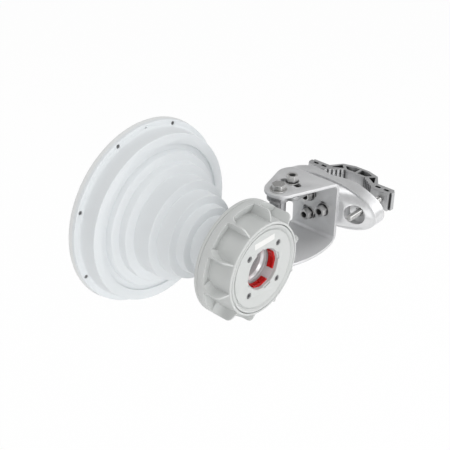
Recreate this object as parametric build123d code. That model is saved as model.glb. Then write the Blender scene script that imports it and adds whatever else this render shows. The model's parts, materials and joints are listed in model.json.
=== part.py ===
from build123d import *
import math
import os

# A horn antenna on its pole bracket. The port axis is Y, the port face is at Y 0, and the horn looks along -Y.
# The bracket and the pole clamp stand on the -X side, and the pole is vertical. Lengths are in millimetres.

# Fits, and how far a cut runs past the face that it opens
cut_past = 1.0
thread_play = 0.05
slip_play = 0.2
screw_play = 0.15
edge_break = 0.4
pick_tolerance = 0.05

# Hub housing: a drum with ribbed pockets between its front flange and its rear rim
hub_radius = 70.7
hub_depth = 36.9
hub_wall = 3.9
hub_flange_width = 9.9
hub_seam_width = 0.7
hub_seam_depth = 0.9
hub_rim_radius = 57.4
hub_rim_rise = 1.2
hub_rim_round = 0.9
pocket_draft = 1.6
pocket_front_slope = 3.4
pocket_end_y = -0.6
rib_count = 10
rib_first_angle = 28.5
rib_front_width = 9.2
rib_rear_width = 1.9
rib_taper_length = 12.5
rib_root_depth = 7.4
rib_shoulder_y = -10.5
rib_corner_drop = 4.2
rib_corner_y = -3.6
hub_boss_height = 14.0

# Front ring, which clamps the bell's neck flange to the hub
ring_width = 4.5
ring_edge_break = 0.8
ring_neck_gap = 0.3
ring_screw_angles = [0, 40, 80, 120, 240, 280, 320]
ring_screw_inset = 8.2
ring_screw_length = 7.3

# Fillister screws of the hub, the cover and the arm
screw_radius = 2.0
screw_head_radius = 3.5
screw_head_height = 2.3
screw_socket_width = 3.6
screw_socket_depth = 1.3
screw_recess_play = 0.4
screw_tip_play = 0.3

# Bell, a stepped shell of even wall. Its seam with the front ring is at the hub's seam
shell_wall = 2.6
neck_radius = 33.4
neck_length = 45.9
neck_flare = 0.8
neck_flange_width = 8.6
neck_flange_thickness = 3.0
step_edge_round = 0.9
step_draft = 1.0

# Steps from the neck out: how far the tread falls, the radius at its edge, and the length of the wall after it
bell_steps = [
    (2.3, 43.0, 11.5),
    (2.3, 53.1, 19.6),
    (2.3, 64.4, 24.1),
    (3.1, 76.1, 9.6),
]
last_tread_fall = 2.3
last_tread_width = 9.7
groove_depth = 7.1
groove_width = 7.0
groove_draft = 2.1
groove_back_depth = 2.5
groove_back_draft = 0.4
shoulder_width = 13.2
bowl_depth = 22.7
bowl_draft = 2.4

# Rim of the bell, its screws and its seal
rim_width = 8.5
rim_thickness = 3.4
rim_taper = 0.7
rim_crease_fillet = 3.6
rim_screw_count = 8
rim_screw_first_angle = 22.5
rim_screw_inset = 4.9
rim_screw_radius = 1.3
rim_screw_grip = 4.3
rim_screw_head_radius = 2.25
rim_screw_head_height = 1.5
rim_screw_socket_width = 2.0
rim_screw_socket_depth = 0.9
rim_recess_radius = 2.6
rim_recess_depth = 1.8
vent_radius = 1.5
vent_depth = 2.0
seal_inset = 9.0
seal_section = 0.65
seal_groove_width = 1.9
seal_groove_depth = 1.4
seal_play = 0.03

# Radome over the mouth
radome_overhang = 0.9
radome_rim_thickness = 5.8
radome_rim_width = 12.0
radome_rim_break = 1.0
radome_wall = 3.0
radome_crown = 3.6
radome_lip_gap = 0.35
radome_lip_wall = 2.4
radome_lip_depth = 4.6
radome_lip_taper = 0.7

# Back cover with the port opening
cover_bore_step = 2.7
cover_gap = 0.8
cover_ledge_depth = 6.0
cover_ledge_width = 3.2
cover_thickness = 4.0
cover_skirt_gap = 3.5
cover_border_rise = 1.3
cover_border_inset = 0.9
cover_border_width = 1.4
cover_dip_depth = 1.5
cover_dip_width = 0.9
cover_face_inset = 6.0
cover_screw_count = 4
cover_screw_circle = 34.5
cover_screw_length = 14.4
cover_screw_head_height = 2.09091
cover_recess_depth = 2.6
post_radius = 6.0
port_radius = 25.4
notch_reach = 2.3
notch_span = 24.0
notch_first_angle = 75.0
notch_depth = 1.6

# Port socket, its lock clips and its seal
socket_depth = 16.2
socket_wall = 4.8
socket_step = 0.4
socket_floor_width = 0.9
clip_count = 4
clip_front_depth = 4.4
clip_width = 8.6
clip_thickness = 0.7
clip_relief = 1.2
clip_play = 0.15
clip_span = 58.0
clip_pad_span = 22.0
clip_bar_width = 3.1
clip_key_span = 17.0
clip_key_height = 1.4
clip_key_turn_play = 0.6
port_seal_section = 0.45

# Throat tube
tube_bore_radius = 20.5
tube_seat_radius = 22.9
tube_seat_depth = 3.0
tube_chamfer_depth = 2.8
tube_wall = 3.4
tube_length = 68.4
tube_flange_width = 7.2
tube_flange_thickness = 3.6

# Bolts, nuts and washers
bolt_m8_radius = 4.0
bolt_m10_radius = 5.0
bolt_hole_play = 0.3
pivot_hole_play = 0.06
m8_hex = 13.0
m8_head_height = 5.3
m8_nut_height = 10.3
m8_nut_flange_radius = 8.95
m8_nut_flange_height = 1.6
m8_end_depth = 5.1
m10_hex = 15.0
m10_head_height = 8.2
m10_flange_radius = 10.9
m10_flange_height = 2.0
m10_nut_height = 8.4
m10_end_height = 2.0

# Azimuth pivot: a barrel on the arm between the bracket's plates, with a lock bolt in a curved slot
pivot_clear = 26.8
pivot_setback = 19.6
swing_angle = 25.0
barrel_radius = 10.0
barrel_boss_radius = 14.1
barrel_boss_height = 6.7
pivot_washer_radius = 13.0
pivot_washer_thickness = 1.0
pivot_play = 0.05
lock_radius = 26.2
ear_thickness = 5.0
ear_half_width = 23.5
ear_length = 38.5
ear_corner = 12.0

# Arm between the barrel and the front ring
web_half_width = 6.5
web_half_height = 33.0
web_foot_half_height = 27.5
web_step_inset = 7.3
web_knee_run = 9.3
web_knee_drop = 3.5
web_shoulder_drop = 1.5
web_root_inset = 7.0
foot_thickness = 5.0
foot_play = 1.0
foot_inset = 2.2
foot_half_angle = 41.0
arm_screw_angles = [148, 180, 212]
arm_screw_head_height = 3.0
arm_screw_length = 14.8

# Three-sided bracket, bent from plate: a top plate with a tongue, a wall, and a floor with a curved near edge
plate = 4.0
plate_top_z = 40.2
plate_room = 80.4
wall_thickness = 4.5
wall_reach = 61.2
wall_near = 43.8
wall_far = 20.6
tongue_radius = 20.5
tongue_setback = 5.0
far_corner_radius = 21.5
far_corner_drop = 10.5
far_corner_inset = 23.7
bend_round = 8.8
bend_fillet = 4.6
floor_bulge = 48.8
floor_bulge_offset = 16.5
floor_end_reach = 21.0
floor_end_near = 40.4
floor_end_radius = 20.0
slot_half_width = 4.3

# Elevation joint, an axis along X with three bolts in curved slots
tilt_offset_y = 10.0
tilt_z = -3.2
tilt_circle = 15.3
tilt_bolt_count = 3
tilt_seat_depth = 7.0
hex_pocket_play = 0.3

# Clamp saddle
clamp_offset_y = 4.5
saddle_neck = 11.6
saddle_thickness = 18.4
saddle_half_length = 78.8
saddle_half_height = 32.6
saddle_shoulder_inset = 3.0
saddle_pad_half_length = 40.0
saddle_pad_half_height = 27.0
saddle_groove_half_width = 36.0
saddle_groove_depth = 9.0
bolt_spacing = 102.4
cup_radius = 13.2
cup_depth = 2.2
dish_depth = 3.6
dish_floor_radius = 6.6
press_nut_radius = 6.1
press_nut_play = 0.1
press_nut_height = 6.2
pole_washer_thickness = 1.4
pole_bolt_rise = 24.0

# Clamp jaw, an extrusion along Z with a toothed vee
pole_room = 29.0
jaw_half_height = 12.65
jaw_half_length = 64.0
jaw_thickness = 14.1
jaw_vee_half_width = 37.0
jaw_vee_floor_half = 14.0
jaw_vee_depth = 16.2
jaw_tooth_count = 5
jaw_tooth_depth = 1.9
jaw_tooth_lead = 0.75
jaw_bead_rise = 2.6
jaw_bead_back = 3.0
jaw_bead_front = 9.5
jaw_shoulder = 39.0
jaw_knee_depth = 30.0
jaw_knee_half = 27.6
jaw_hump_depth = 35.1
jaw_hump_half = 10.9
jaw_web = 3.8
jaw_rib_half = 1.9
jaw_cell_round = 0.9
jaw_cell_inset = 6.08
jaw_slot_depth = 3.8
jaw_slot_length = 7.6
jaw_slot_round = 1.2
jaw_slot_inboard = 7.8
jaw_slot_outboard = 5.2

# Places that follow from the sizes above: the hub
seam_y = -hub_depth
hub_front_y = seam_y - ring_width
hub_flange_rear_y = seam_y + hub_flange_width
rib_front_y = hub_flange_rear_y - pocket_front_slope - cut_past
ring_screw_circle = hub_radius - ring_screw_inset
ring_screw_tip_y = hub_front_y + screw_head_height + slip_play + ring_screw_length
cover_bore_radius = hub_rim_radius - cover_bore_step
cover_radius = cover_bore_radius - cover_gap
cover_face_radius = cover_radius - cover_face_inset
hub_cavity_radius = cover_bore_radius - cover_ledge_width
screw_hole_radius = screw_radius + screw_play
screw_core_radius = screw_radius + thread_play
screw_recess_radius = screw_head_radius + screw_recess_play
cover_screw_angles = [45 + index * 360 / cover_screw_count for index in range(cover_screw_count)]

# The port
socket_radius = port_radius - socket_step
socket_floor_radius = socket_radius - socket_floor_width
socket_outer_radius = socket_radius + socket_wall
tube_outer_radius = tube_bore_radius + tube_wall
tube_mouth_y = -socket_depth
hub_boss_end_y = seam_y + hub_wall + hub_boss_height

# The bell
neck_flange_radius = neck_radius + neck_flange_width
neck_flange_front_y = seam_y - neck_flange_thickness
neck_end_y = seam_y - neck_length
steps_end_y = neck_end_y - sum(fall + wall for fall, edge, wall in bell_steps)
steps_end_radius = bell_steps[-1][1] + step_draft
groove_edge_radius = steps_end_radius + last_tread_width
groove_edge_y = steps_end_y - last_tread_fall
groove_inner_radius = groove_edge_radius + groove_draft
groove_outer_radius = groove_inner_radius + groove_width
groove_floor_y = groove_edge_y - groove_depth
shoulder_inner_radius = groove_outer_radius + groove_back_draft
shoulder_radius = shoulder_inner_radius + shoulder_width
shoulder_y = groove_floor_y + groove_back_depth
crease_radius = shoulder_radius + bowl_draft
rim_radius = crease_radius + rim_width
rim_rear_y = shoulder_y - bowl_depth
rim_seam_y = rim_rear_y - rim_thickness
rim_screw_circle = rim_radius - rim_screw_inset
rim_screw_tip_y = rim_seam_y - rim_screw_grip
rim_screw_angles = [rim_screw_first_angle + index * 360 / rim_screw_count for index in range(rim_screw_count)]
seal_circle = rim_radius - seal_inset

# The bracket and its two pivots
pivot_x = -hub_radius - pivot_clear
pivot_y = hub_front_y - pivot_setback
lock_x = pivot_x - lock_radius
plate_low_z = plate_top_z - plate_room
wall_front_x = pivot_x - wall_reach
wall_back_x = wall_front_x - wall_thickness
wall_high_y = pivot_y + wall_near
wall_low_y = pivot_y - wall_far
arm_top_z = plate_top_z - plate - pivot_washer_thickness - pivot_play
arm_low_z = plate_low_z + pivot_washer_thickness + pivot_play
ear_low_z = arm_top_z - ear_thickness
pivot_hole_radius = bolt_m10_radius + pivot_hole_play
m8_hole_radius = bolt_m8_radius + bolt_hole_play
tilt_y = pivot_y + tilt_offset_y

# The clamp
clamp_y = tilt_y + clamp_offset_y
saddle_front_x = wall_back_x - saddle_neck
saddle_back_x = saddle_front_x - saddle_thickness
cup_floor_x = saddle_front_x - cup_depth
dish_floor_x = cup_floor_x - dish_depth
washer_seat_x = dish_floor_x - press_nut_height - pole_washer_thickness
jaw_front_x = saddle_back_x - pole_room
jaw_back_x = jaw_front_x - jaw_thickness
bolt_ys = [clamp_y - bolt_spacing / 2, clamp_y + bolt_spacing / 2]


# Basic shapes
def turned(corners, rounds=()):
    outline = make_face(Polyline(*corners, close=True))
    for radius, y, size in rounds:
        near = [v for v in outline.vertices() if math.hypot(v.X - radius, v.Y - y) < pick_tolerance]
        outline = fillet(near, size)
    return revolve(outline, Axis.Y, 360)


def ring_y(inner, outer, y_low, y_high):
    return turned([(inner, y_low), (outer, y_low), (outer, y_high), (inner, y_high)])


def along(start, end):
    path = Vector(end) - Vector(start)
    return Plane(origin=start, z_dir=path), path.length


def rod(radius, start, end):
    base, length = along(start, end)
    return base * Cylinder(radius, length, align=(Align.CENTER, Align.CENTER, Align.MIN))


def hexagon(across_flats, start, end):
    base, length = along(start, end)
    return extrude(base * RegularPolygon(across_flats / 2, 6, major_radius=False), length)


def polar(radius, angle, y):
    turn = math.radians(angle)
    return (radius * math.cos(turn), y, radius * math.sin(turn))


def around_y(shape, angle):
    return Rot(0, -angle, 0) * shape


def sector_y(inner, outer, y_low, y_high, middle, span):
    section = Polyline((inner, y_low), (outer, y_low), (outer, y_high), (inner, y_high), close=True)
    return around_y(revolve(make_face(section), Axis.Y, span), middle + span / 2)


def arc_slot(radius, half_width, middle, half_angle):
    ends = [middle - half_angle, middle + half_angle]
    path = CenterArc((0, 0), radius, ends[0], 2 * half_angle)
    slot = make_face([
        CenterArc((0, 0), radius + half_width, ends[0], 2 * half_angle),
        CenterArc((0, 0), radius - half_width, ends[0], 2 * half_angle),
        Line(path @ 0 * (radius - half_width) / radius, path @ 0 * (radius + half_width) / radius),
        Line(path @ 1 * (radius - half_width) / radius, path @ 1 * (radius + half_width) / radius),
    ])
    for end in (path @ 0, path @ 1):
        slot += Pos(end.X, end.Y) * Circle(half_width)
    return slot


# Screws, bolts and nuts
def headed_screw(radius, head_radius, socket_width, socket_depth, tip, seat, head):
    lean = (Vector(head) - Vector(seat)).normalized()
    screw = rod(radius, tip, seat) + rod(head_radius, seat, head)
    top = Vector(head)
    return screw - hexagon(socket_width, top - lean * socket_depth, top + lean * cut_past)


def hub_screw(circle, angle, tip_y, seat_y, head_y):
    places = [polar(circle, angle, y) for y in (tip_y, seat_y, head_y)]
    return headed_screw(screw_radius, screw_head_radius, screw_socket_width, screw_socket_depth, *places)


def hex_bolt(radius, across_flats, head_height, seat, tip):
    away = (Vector(seat) - Vector(tip)).normalized()
    return rod(radius, tip, seat) + hexagon(across_flats, seat, Vector(seat) + away * head_height)


def flange_nut(across_flats, height, flange_radius, flange_height, hole_radius, seat, away):
    seat = Vector(seat)
    away = Vector(away)
    nut = rod(flange_radius, seat, seat + away * flange_height)
    nut += hexagon(across_flats, seat, seat + away * height)
    return nut - rod(hole_radius, seat - away * cut_past, seat + away * (height + cut_past))


def m8_nut(seat, away):
    return flange_nut(m8_hex, m8_nut_height, m8_nut_flange_radius, m8_nut_flange_height,
                      bolt_m8_radius + thread_play, seat, away)


def flat_washer(radius, hole_radius, start, end):
    lean = (Vector(end) - Vector(start)).normalized() * cut_past
    return rod(radius, start, end) - rod(hole_radius, Vector(start) - lean, Vector(end) + lean)


# Bell
def bell_corners():
    corners = [(crease_radius, rim_rear_y), (shoulder_radius, shoulder_y)]
    groove = [(shoulder_inner_radius, shoulder_y), (groove_outer_radius, groove_floor_y)]
    treads = []
    radius = neck_radius + neck_flare
    y = neck_end_y
    for fall, edge, wall in bell_steps:
        treads += [(radius, y), (edge, y - fall)]
        radius = edge + step_draft
        y -= fall + wall
    treads += [(radius, y), (groove_edge_radius, groove_edge_y), (groove_inner_radius, groove_floor_y)]
    return corners, groove, treads[::-1]


def bell_profile():
    mouth, groove, treads = bell_corners()
    outside = [(rim_radius, rim_seam_y), (rim_radius - rim_taper, rim_rear_y)] + mouth + groove + treads
    outside += [
        (neck_radius, neck_flange_front_y), (neck_flange_radius, neck_flange_front_y),
        (neck_flange_radius, seam_y),
    ]
    inside = [(neck_radius - shell_wall, seam_y)]
    inside += [(r - shell_wall, y - shell_wall) for r, y in treads[::-1]]
    inside += [(r + shell_wall, y - shell_wall) for r, y in groove[::-1]]
    inside.append((shoulder_radius - shell_wall, shoulder_y - shell_wall))
    inside.append((crease_radius - shell_wall, rim_seam_y))
    return outside + inside


def make_horn_shell():
    mouth, groove, treads = bell_corners()
    rounds = [mouth[0] + (rim_crease_fillet,), mouth[1] + (step_edge_round,)]
    rounds += [edge + (step_edge_round,) for edge in treads[1::2]]
    shell = turned(bell_profile(), rounds)
    half = seal_groove_width / 2
    groove_y = rim_seam_y + seal_groove_depth
    shell -= ring_y(seal_circle - half, seal_circle + half, rim_seam_y - cut_past, groove_y)
    over = rim_rear_y + cut_past
    for angle in rim_screw_angles:
        top = polar(rim_screw_circle, angle, over)
        shell -= rod(rim_screw_radius + screw_play, polar(rim_screw_circle, angle, rim_seam_y - cut_past), top)
        shell -= rod(rim_recess_radius, polar(rim_screw_circle, angle, rim_rear_y - rim_recess_depth), top)
    for angle in (90, 270):
        start = polar(rim_screw_circle, angle, rim_rear_y - vent_depth)
        shell -= rod(vent_radius, start, polar(rim_screw_circle, angle, over))
    return shell


def make_rim_screws():
    seat_y = rim_rear_y - rim_recess_depth
    screws = []
    for angle in rim_screw_angles:
        levels = [rim_screw_tip_y, seat_y, seat_y + rim_screw_head_height]
        places = [polar(rim_screw_circle, angle, y) for y in levels]
        screws.append(headed_screw(rim_screw_radius, rim_screw_head_radius, rim_screw_socket_width,
                                   rim_screw_socket_depth, *places))
    return Compound(children=screws)


def make_rim_gasket():
    centre_y = rim_seam_y + seal_groove_depth - seal_section - seal_play
    return revolve(Pos(seal_circle, centre_y) * Circle(seal_section), Axis.Y, 360)


def crown_arc(radius, edge_y, rise):
    ball = (radius * radius + rise * rise) / (2 * rise)
    middle = radius / 2
    middle_y = edge_y - rise + ball - math.sqrt(ball * ball - middle * middle)
    return ThreePointArc((0, edge_y - rise), (middle, middle_y), (radius, edge_y))


def make_radome():
    outer = rim_radius + radome_overhang
    lip_outer = crease_radius - shell_wall - radome_lip_gap
    lip_inner = lip_outer - radome_lip_wall
    front_y = rim_seam_y - radome_rim_thickness
    back_y = front_y + radome_wall
    lip_y = rim_seam_y + radome_lip_depth
    front = crown_arc(outer - radome_rim_width, front_y, radome_crown)
    back = crown_arc(lip_inner, back_y, radome_crown)
    edge = Polyline(
        front @ 1, (outer - radome_rim_break, front_y), (outer, front_y + radome_rim_break),
        (rim_radius, rim_seam_y),
        (lip_outer, rim_seam_y), (lip_outer - radome_lip_taper, lip_y), (lip_inner, lip_y), back @ 1,
    )
    cover = revolve(make_face([front, edge, back, Line(front @ 0, back @ 0)]), Axis.Y, 360)
    for angle in rim_screw_angles:
        tip = polar(rim_screw_circle, angle, rim_screw_tip_y - screw_tip_play)
        cover -= rod(rim_screw_radius + thread_play, tip, polar(rim_screw_circle, angle, rim_seam_y + cut_past))
    return cover


# Hub
def make_front_ring():
    bore = neck_radius + ring_neck_gap
    flange_bore = neck_flange_radius + slip_play
    ring = turned([
        (bore, hub_front_y), (hub_radius - ring_edge_break, hub_front_y),
        (hub_radius, hub_front_y + ring_edge_break),
        (hub_radius, seam_y - edge_break), (hub_radius - edge_break, seam_y), (flange_bore, seam_y),
        (flange_bore, neck_flange_front_y), (bore, neck_flange_front_y),
    ])
    for angle in ring_screw_angles + arm_screw_angles:
        start = polar(ring_screw_circle, angle, hub_front_y - cut_past)
        ring -= rod(screw_hole_radius, start, polar(ring_screw_circle, angle, seam_y + cut_past))
    for angle in ring_screw_angles:
        start = polar(ring_screw_circle, angle, hub_front_y - cut_past)
        seat_y = hub_front_y + screw_head_height + slip_play
        ring -= rod(screw_recess_radius, start, polar(ring_screw_circle, angle, seat_y))
    return ring


def rib_envelope():
    inner = hub_rim_radius - rib_root_depth
    corner = (hub_radius - rib_corner_drop, rib_corner_y)
    shoulder = TangentArc((hub_radius, rib_shoulder_y), corner, tangent=(0, 1))
    edge = Polyline(
        shoulder @ 1, (hub_rim_radius - slip_play, pocket_end_y), (inner, pocket_end_y), (inner, rib_front_y),
        (hub_radius - cut_past, rib_front_y), (hub_radius, hub_flange_rear_y), shoulder @ 0,
    )
    return revolve(make_face([shoulder, edge]), Axis.Y, 360)


# A rib seen from outside: broad where it leaves the flange, then an even blade back to the rim
def rib_blade():
    rear_y = pocket_end_y / 2
    taper_end = (rib_rear_width, hub_flange_rear_y + rib_taper_length)
    flank = TangentArc(taper_end, (rib_front_width, hub_flange_rear_y), tangent=(0, -1))
    edge = Polyline(flank @ 1, (rib_front_width, rib_front_y), (0, rib_front_y), (0, rear_y),
                    (rib_rear_width, rear_y), flank @ 0)
    plan = Plane(origin=(0, 0, 0), x_dir=(0, 0, 1), z_dir=(-1, 0, 0))
    root = hub_rim_radius - pocket_draft
    blade = extrude(plan * make_face([flank, edge]), hub_radius + cut_past - root, dir=(1, 0, 0))
    return Pos(root, 0, 0) * blade & rib_envelope()


def drum_profile(inner_radius):
    wall_y = seam_y + hub_wall
    flange_inner = hub_radius - hub_seam_depth
    rim_y = hub_rim_rise
    return [
        (inner_radius, seam_y), (flange_inner, seam_y), (flange_inner, seam_y + hub_seam_width),
        (hub_radius, seam_y + hub_seam_width), (hub_radius, hub_flange_rear_y),
        (hub_rim_radius + pocket_draft, hub_flange_rear_y - pocket_front_slope),
        (hub_rim_radius, pocket_end_y), (hub_rim_radius, rim_y - hub_rim_round),
        (hub_rim_radius - hub_rim_round, rim_y),
        (cover_bore_radius + edge_break, rim_y), (cover_bore_radius, rim_y - edge_break),
        (cover_bore_radius, -cover_ledge_depth), (hub_cavity_radius, -cover_ledge_depth),
        (hub_cavity_radius, wall_y), (socket_outer_radius, wall_y), (socket_outer_radius, hub_boss_end_y), (inner_radius, hub_boss_end_y),
    ]


def make_hub_housing():
    drum = turned(drum_profile(tube_outer_radius + slip_play))
    blade = rib_blade()
    for index in range(rib_count):
        drum += around_y(blade, rib_first_angle + index * 360 / rib_count)
    base_y = seam_y + hub_wall / 2
    for angle in cover_screw_angles:
        post = rod(post_radius, polar(cover_screw_circle, angle, base_y),
                   polar(cover_screw_circle, angle, -cover_thickness))
        drum += post - ring_y(0, socket_outer_radius + slip_play, hub_boss_end_y, 0)
    for angle in cover_screw_angles:
        core = polar(cover_screw_circle, angle, -cover_recess_depth - cover_screw_length - screw_tip_play)
        drum -= rod(screw_core_radius, core, polar(cover_screw_circle, angle, 0))
    for angle in ring_screw_angles + arm_screw_angles:
        end = polar(ring_screw_circle, angle, ring_screw_tip_y + screw_tip_play)
        drum -= rod(screw_core_radius, polar(ring_screw_circle, angle, seam_y - cut_past), end)
    return drum


def make_ring_screws():
    seat_y = hub_front_y + screw_head_height + slip_play
    head_y = seat_y - screw_head_height
    screws = [hub_screw(ring_screw_circle, angle, ring_screw_tip_y, seat_y, head_y)
              for angle in ring_screw_angles]
    return Compound(children=screws)


# Back cover and port
def make_back_cover():
    border = cover_radius - cover_border_inset
    border_inner = border - cover_border_width
    dip = cover_face_radius + cover_dip_width
    skirt = hub_cavity_radius - cover_skirt_gap
    cover = turned([
        (port_radius, -cover_thickness), (skirt, -cover_thickness), (skirt, -cover_ledge_depth),
        (cover_radius, -cover_ledge_depth), (cover_radius, cover_border_rise - cover_border_inset),
        (border, cover_border_rise), (border_inner, cover_border_rise), (dip, -cover_dip_depth),
        (cover_face_radius, -cover_dip_depth), (cover_face_radius, -edge_break),
        (cover_face_radius - edge_break, 0),
        (port_radius + edge_break, 0), (port_radius, -edge_break),
    ])
    for index in range(clip_count):
        middle = notch_first_angle + index * 360 / clip_count
        outer = port_radius + notch_reach
        cover -= sector_y(port_radius - cut_past, outer, -notch_depth, cut_past, middle, notch_span)
    for angle in cover_screw_angles:
        over = polar(cover_screw_circle, angle, cut_past)
        cover -= rod(screw_hole_radius, polar(cover_screw_circle, angle, -cover_thickness - cut_past), over)
        cover -= rod(screw_recess_radius, polar(cover_screw_circle, angle, -cover_recess_depth), over)
    return cover


def make_cover_screws():
    seat_y = -cover_recess_depth
    tip_y = seat_y - cover_screw_length
    head_y = seat_y + cover_screw_head_height
    screws = [hub_screw(cover_screw_circle, angle, tip_y, seat_y, head_y) for angle in cover_screw_angles]
    return Compound(children=screws)


def make_port_socket():
    socket = turned([
        (socket_floor_radius, hub_boss_end_y), (socket_outer_radius, hub_boss_end_y),
        (socket_outer_radius, -cover_thickness), (socket_radius, -cover_thickness),
        (socket_radius, -socket_depth), (socket_floor_radius, -socket_depth),
    ])
    for index in range(clip_count):
        socket -= sector_y(
            socket_radius - cut_past, socket_radius + clip_key_height + slip_play,
            -clip_front_depth - clip_width - slip_play, -clip_front_depth + slip_play,
            index * 360 / clip_count, clip_key_span + clip_key_turn_play)
    return socket


# Each clip is a curved leaf keyed into the socket, with a pad at one end and two bars at the other
def make_lock_clips():
    outer = socket_radius - clip_play
    leaf = outer - clip_thickness
    inner = leaf - clip_relief
    front_y = -clip_front_depth
    back_y = front_y - clip_width
    bar_span = clip_span - clip_pad_span
    clips = []
    for index in range(clip_count):
        angle = index * 360 / clip_count
        first = angle - clip_span / 2
        pad_middle = first + clip_pad_span / 2
        bar_middle = first + clip_pad_span + bar_span / 2
        clip = sector_y(leaf, outer, back_y, front_y, angle, clip_span)
        clip += sector_y(inner, outer, back_y, front_y, pad_middle, clip_pad_span)
        clip += sector_y(inner, outer, front_y - clip_bar_width, front_y, bar_middle, bar_span)
        clip += sector_y(inner, outer, back_y, back_y + clip_bar_width, bar_middle, bar_span)
        clip += sector_y(leaf, socket_radius + clip_key_height, back_y + slip_play, front_y - slip_play,
                         angle, clip_key_span)
        clips.append(clip)
    return Compound(children=clips)


def make_port_seal():
    centre_radius = socket_floor_radius + socket_floor_width / 2
    section = Pos(centre_radius, -socket_depth + port_seal_section + seal_play) * Circle(port_seal_section)
    return revolve(section, Axis.Y, 360)


def make_throat_tube():
    flange_front_y = tube_mouth_y - tube_length
    flange_rear_y = flange_front_y + tube_flange_thickness
    flange_radius = tube_outer_radius + tube_flange_width
    seat_y = tube_mouth_y - tube_seat_depth
    return turned([
        (tube_bore_radius, flange_front_y), (flange_radius, flange_front_y), (flange_radius, flange_rear_y),
        (tube_outer_radius, flange_rear_y), (tube_outer_radius, tube_mouth_y), (tube_seat_radius, tube_mouth_y),
        (tube_seat_radius, seat_y), (tube_bore_radius, seat_y - tube_chamfer_depth),
    ])


# Arm and azimuth pivot
def pivot_point(z):
    return (pivot_x, pivot_y, z)


def lock_point(z):
    return (lock_x, pivot_y, z)


def make_arm_ear():
    ear = Pos(pivot_x - ear_length / 2, pivot_y) * Rectangle(ear_length, 2 * ear_half_width)
    return Pos(0, 0, ear_low_z) * extrude(fillet(ear.vertices(), ear_corner), ear_thickness)


def make_arm_web(foot_y):
    knee_x = -hub_radius - web_knee_run
    root_x = -foot_inner_radius() - web_root_inset
    shoulder_y = hub_front_y - web_shoulder_drop
    web = make_face(Polyline(
        (pivot_x, pivot_y - web_half_width), (pivot_x, pivot_y + web_half_width),
        (knee_x, hub_front_y - web_knee_drop), (-hub_radius, shoulder_y), (root_x, shoulder_y),
        (root_x, foot_y - web_knee_drop), (-hub_radius + foot_thickness, foot_y - web_half_width), close=True))
    web = Pos(0, 0, -web_half_height) * extrude(web, 2 * web_half_height)
    notch_x = -hub_radius - web_step_inset
    notch_height = web_half_height - web_foot_half_height
    notch = Box(hub_radius, hub_radius, notch_height, align=(Align.MIN, Align.CENTER, Align.MIN))
    web -= Pos(notch_x, foot_y, web_foot_half_height) * notch
    return web - Pos(notch_x, foot_y, -web_half_height) * notch


def foot_inner_radius():
    return neck_flange_radius + foot_play


def make_bracket_arm():
    foot_y = hub_front_y - foot_thickness
    arm = rod(barrel_radius, pivot_point(arm_low_z), pivot_point(arm_top_z))
    arm += rod(barrel_boss_radius, pivot_point(arm_top_z - barrel_boss_height), pivot_point(arm_top_z))
    arm += rod(barrel_boss_radius, pivot_point(arm_low_z), pivot_point(arm_low_z + barrel_boss_height))
    arm += make_arm_ear()
    arm += make_arm_web(foot_y)
    foot_outer = hub_radius - foot_inset
    arm += sector_y(foot_inner_radius(), foot_outer, foot_y, hub_front_y, 180, 2 * foot_half_angle)
    arm -= ring_y(0, foot_inner_radius(), foot_y - foot_outer, hub_front_y + cut_past)
    arm -= rod(pivot_hole_radius, pivot_point(arm_low_z - cut_past), pivot_point(arm_top_z + cut_past))
    arm -= rod(m8_hole_radius, lock_point(ear_low_z - cut_past), lock_point(arm_top_z + cut_past))
    for angle in arm_screw_angles:
        seat = polar(ring_screw_circle, angle, foot_y)
        arm -= rod(screw_hole_radius, seat, polar(ring_screw_circle, angle, hub_front_y + cut_past))
        arm -= rod(screw_recess_radius, polar(ring_screw_circle, angle, foot_y - foot_outer), seat)
    return arm


def make_arm_screws():
    seat_y = hub_front_y - foot_thickness
    head_y = seat_y - arm_screw_head_height
    tip_y = seat_y + arm_screw_length
    screws = [hub_screw(ring_screw_circle, angle, tip_y, seat_y, head_y) for angle in arm_screw_angles]
    return Compound(children=screws)


def make_pivot_bolt():
    end_z = plate_low_z - plate - m10_nut_height - m10_end_height
    bolt = hex_bolt(bolt_m10_radius, m10_hex, m10_head_height, pivot_point(plate_top_z), pivot_point(end_z))
    return bolt + rod(m10_flange_radius, pivot_point(plate_top_z), pivot_point(plate_top_z + m10_flange_height))


def make_pivot_nut():
    return flange_nut(m10_hex, m10_nut_height, m10_flange_radius, m10_flange_height, pivot_hole_radius,
                      pivot_point(plate_low_z - plate), (0, 0, -1))


def make_pivot_washers():
    seats = [plate_top_z - plate - pivot_washer_thickness, plate_low_z]
    washers = [flat_washer(pivot_washer_radius, pivot_hole_radius, pivot_point(z),
                           pivot_point(z + pivot_washer_thickness)) for z in seats]
    return Compound(children=washers)


def make_lock_bolt():
    tip = lock_point(plate_top_z + m8_nut_height - m8_end_depth)
    return hex_bolt(bolt_m8_radius, m8_hex, m8_head_height, lock_point(ear_low_z), tip)


def make_lock_nut():
    return m8_nut(lock_point(plate_top_z), (0, 0, 1))


# Three-sided bracket
def wall_foot():
    corner = (wall_back_x, wall_low_y)
    size = (wall_thickness, wall_near + wall_far)
    return Pos(*corner) * Rectangle(*size, align=(Align.MIN, Align.MIN))


def far_corner():
    return Pos(wall_back_x + far_corner_inset, pivot_y - far_corner_drop) * Circle(far_corner_radius)


def top_plate_outline():
    tongue = Pos(pivot_x - tongue_setback, pivot_y) * Circle(tongue_radius)
    return make_hull(tongue.edges() + far_corner().edges() + wall_foot().edges())


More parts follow.
